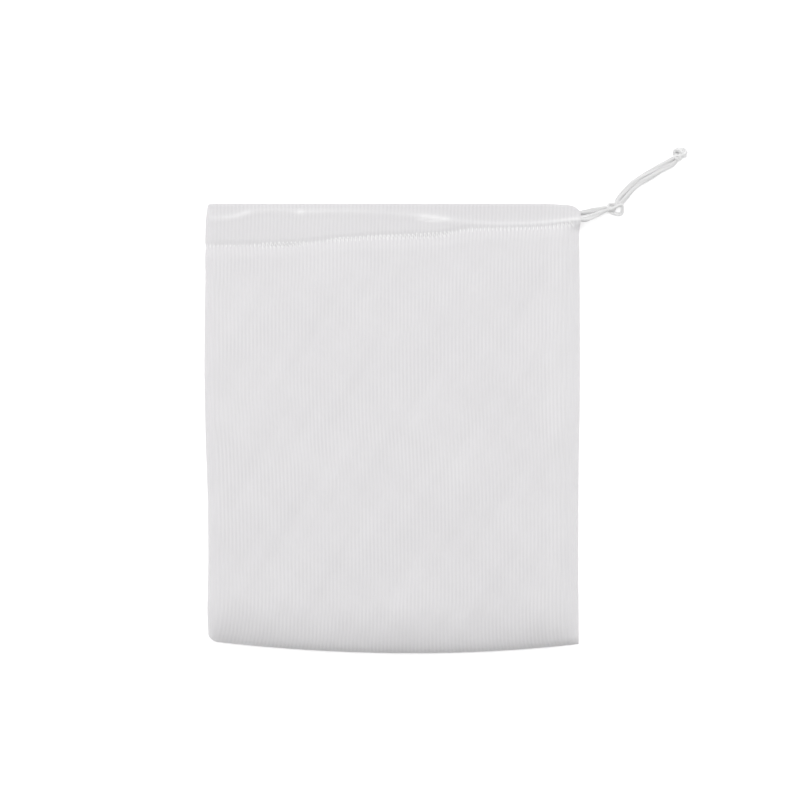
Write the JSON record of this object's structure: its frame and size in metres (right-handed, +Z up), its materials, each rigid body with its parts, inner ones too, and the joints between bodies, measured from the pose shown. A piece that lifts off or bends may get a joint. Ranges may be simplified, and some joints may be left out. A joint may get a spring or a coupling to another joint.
{
  "type": "mesh produce bag",
  "caption": "Flat white fine-mesh drawstring bag with a stitched hem, one folded side, a bowed sewn bottom and a knotted double cord at one corner.",
  "frame": {"origin": "on the surface that the bag lies on, under the middle of the cloth's length and width; the free ends of the string are left out", "axes": "+X across the mouth towards the corner that the string comes out of, +Y from the bottom to the mouth, +Z up from the back cloth to the front cloth"},
  "size_m": [0.3299, 0.3474, 0.0185],
  "materials": {
    "mesh_cloth": "fine white nylon mesh, nearly closed, soft matt sheen",
    "hem_cloth": "the same mesh turned over and doubled, a little whiter",
    "thread": "white polyester sewing thread",
    "cord": "soft white braided nylon cord, fluffy where it is slack"
  },
  "bodies": {
    "bag": {"back_panel": "mesh_cloth", "front_panel": "mesh_cloth", "back_hem": "hem_cloth", "front_hem": "hem_cloth", "side_seam": "thread", "bottom_seam": "thread", "back_hem_stitching": "thread", "front_hem_stitching": "thread"},
    "drawstring": {"hem_fold": "hem_cloth", "casing_cord": "cord", "front_lead": "cord", "back_lead": "cord", "stopper_knot": "cord", "front_tail": "cord", "back_tail": "cord", "end_knot": "cord"}
  },
  "joints": [
    {"name": "drawstring_pull", "type": "slide", "parent": "bag", "child": "drawstring", "axis": [1, 0, 0], "range_m": [0, 0.08], "deforming": ["front_hem", "back_hem"]}
  ]
}
